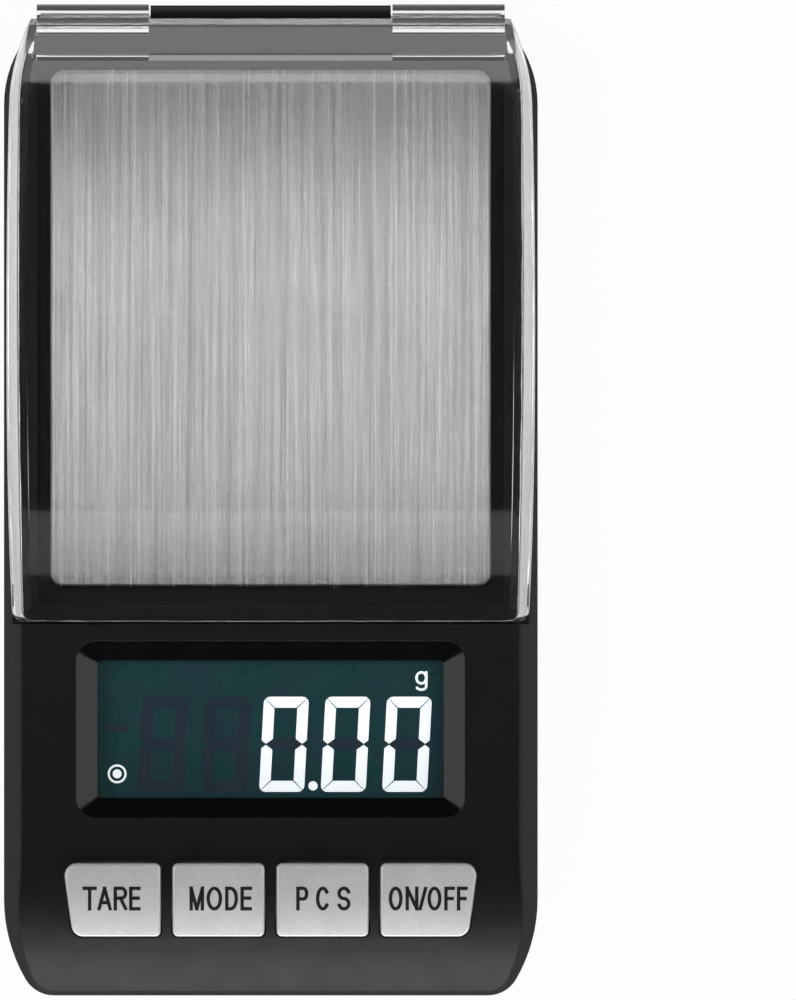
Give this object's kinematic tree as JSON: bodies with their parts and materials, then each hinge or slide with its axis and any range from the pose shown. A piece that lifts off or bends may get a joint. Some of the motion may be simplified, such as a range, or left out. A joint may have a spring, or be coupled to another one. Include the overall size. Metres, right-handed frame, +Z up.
{
  "type": "digital gram scale",
  "caption": "Small battery gram scale with a steel pan under a clear flip cover, an LCD and a row of silver buttons.",
  "frame": {"origin": "middle of the footprint, on the surface that the scale stands on", "axes": "+Y runs from the buttons to the cover's hinge, +Z is up, +X is to the right seen from the buttons"},
  "size_m": [0.0668, 0.1242, 0.021],
  "materials": {
    "black_abs": "fine moulded satin",
    "clear_plastic": "clear polished polycarbonate",
    "steel": "ground",
    "brushed_pan": "brushed along the length",
    "tape": "foam adhesive tape",
    "inner_plastic": "satin",
    "beam_aluminium": "milled",
    "gauge_coat": "white silicone coat",
    "screw_steel": "zinc plated",
    "board": "solder mask",
    "black_epoxy": "potting",
    "switch_metal": "stamped",
    "switch_plunger": "moulded",
    "silver_paint": "silver paint with fine sparkle",
    "lcd": "dark teal negative LCD",
    "diffuser": "light guide",
    "elastomer": "striped elastomer",
    "display_window": "clear polished",
    "cell_wrap": "printed wrap",
    "contact_metal": "nickel plated",
    "red_wire": "insulation",
    "black_wire": "insulation",
    "green_wire": "insulation",
    "white_wire": "insulation",
    "rubber_foot": "matt"
  },
  "bodies": {
    "housing": {"base_shell": "black_abs", "top_shell": "black_abs", "hinge_pin": "steel", "load_cell": "beam_aluminium", "load_cell_spacer": "steel", "strain_gauges": "gauge_coat", "load_cell_base_screws": "screw_steel", "overload_stop_screw": "screw_steel", "main_board": "board", "controller_blob": "black_epoxy", "board_components": "black_epoxy", "tact_switches": "switch_metal", "lcd_glass": "lcd", "backlight": "diffuser", "lcd_frame": "inner_plastic", "zebra_strip": "elastomer", "display_lens": "display_window", "board_screws": "screw_steel", "cell_rear": "cell_wrap", "cell_front": "cell_wrap", "contact_bridge": "contact_metal", "contact_positive": "contact_metal", "contact_negative": "contact_metal", "contact_springs": "contact_metal", "battery_lead_red": "red_wire", "battery_lead_black": "black_wire", "gauge_lead_red": "red_wire", "gauge_lead_black": "black_wire", "gauge_lead_green": "green_wire", "gauge_lead_white": "white_wire", "housing_screws": "screw_steel", "rubber_feet": "rubber_foot"},
    "platform": {"weighing_pan": "brushed_pan", "pan_tape": "tape", "pan_carrier": "inner_plastic", "load_cell_carrier_screws": "screw_steel"},
    "cover": {"flip_cover": "clear_plastic"},
    "door": {"battery_door": "black_abs"},
    "tare_key": {"tare_button": "silver_paint", "switch_plunger_tare": "switch_plunger"},
    "mode_key": {"mode_button": "silver_paint", "switch_plunger_mode": "switch_plunger"},
    "pcs_key": {"pcs_button": "silver_paint", "switch_plunger_pcs": "switch_plunger"},
    "power_key": {"power_button": "silver_paint", "switch_plunger_power": "switch_plunger"}
  },
  "joints": [
    {"name": "cover_hinge", "type": "hinge", "parent": "housing", "child": "cover", "pos_m": [0, 0.05975, 0.0108], "axis": [-1, 0, 0], "range_deg": [0, 180]},
    {"name": "battery_door_hinge", "type": "hinge", "parent": "housing", "child": "door", "pos_m": [0, -0.017, 0.0006], "axis": [1, 0, 0], "range_deg": [0, 70]},
    {"name": "platform_travel", "type": "slide", "parent": "housing", "child": "platform", "axis": [0, 0, 1], "range_m": [-0.0003, 0], "stiffness_N_per_m": 16000, "deforming": ["load_cell", "strain_gauges"]},
    {"name": "tare_press", "type": "slide", "parent": "housing", "child": "tare_key", "axis": [0, 0, 1], "range_m": [-0.0004, 0], "stiffness_N_per_m": 4000},
    {"name": "mode_press", "type": "slide", "parent": "housing", "child": "mode_key", "axis": [0, 0, 1], "range_m": [-0.0004, 0], "stiffness_N_per_m": 4000},
    {"name": "pcs_press", "type": "slide", "parent": "housing", "child": "pcs_key", "axis": [0, 0, 1], "range_m": [-0.0004, 0], "stiffness_N_per_m": 4000},
    {"name": "power_press", "type": "slide", "parent": "housing", "child": "power_key", "axis": [0, 0, 1], "range_m": [-0.0004, 0], "stiffness_N_per_m": 4000}
  ]
}
